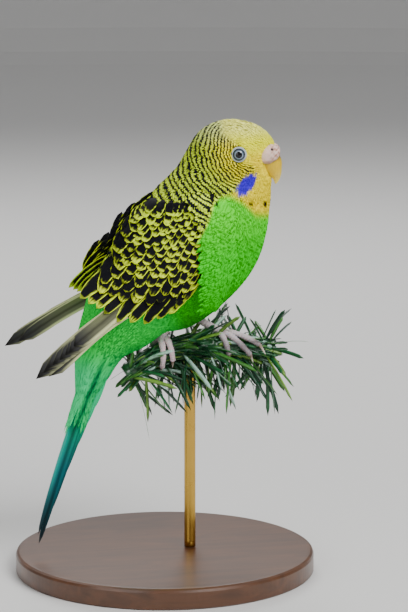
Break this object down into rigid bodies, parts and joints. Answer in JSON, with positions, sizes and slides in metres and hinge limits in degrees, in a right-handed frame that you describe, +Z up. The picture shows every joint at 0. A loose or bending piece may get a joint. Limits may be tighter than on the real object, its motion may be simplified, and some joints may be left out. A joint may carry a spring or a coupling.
{
  "type": "budgerigar on a branch and display stand",
  "caption": "Life-size green budgerigar perched on a short cut of artificial fir branch, on a round display stand, with folded wings and a long tapered tail.",
  "frame": {"origin": "centre of the stand's underside, on the table", "axes": "+X the way the bird faces, +Y its left side, +Z up"},
  "size_m": [0.116, 0.116, 0.1753],
  "materials": {
    "plumage_green": "soft",
    "plumage_yellow": "soft",
    "plumage_barred": "soft",
    "tail_feathers": "soft",
    "horn_bill": "satin",
    "horn_claw": "satin",
    "cere_skin": "soft",
    "foot_skin": "soft",
    "eye": "wet",
    "branch_plastic": "matte",
    "stand_wood": "satin",
    "stand_metal": "polished"
  },
  "bodies": {
    "root": {"torso": "plumage_green", "neck": "plumage_yellow", "head": "plumage_yellow", "tail": "tail_feathers", "bill_upper": "horn_bill", "bill_lower": "horn_bill", "cere": "cere_skin", "branch": "branch_plastic", "stand_base": "stand_wood", "stand_rod": "stand_metal", "wing_left": "plumage_barred", "foot_left": "foot_skin", "eye_left": "eye", "claw_left_1": "horn_claw", "claw_left_2": "horn_claw", "claw_left_3": "horn_claw", "claw_left_4": "horn_claw", "wing_right": "plumage_barred", "foot_right": "foot_skin", "eye_right": "eye", "claw_right_1": "horn_claw", "claw_right_2": "horn_claw", "claw_right_3": "horn_claw", "claw_right_4": "horn_claw"}
  },
  "joints": []
}
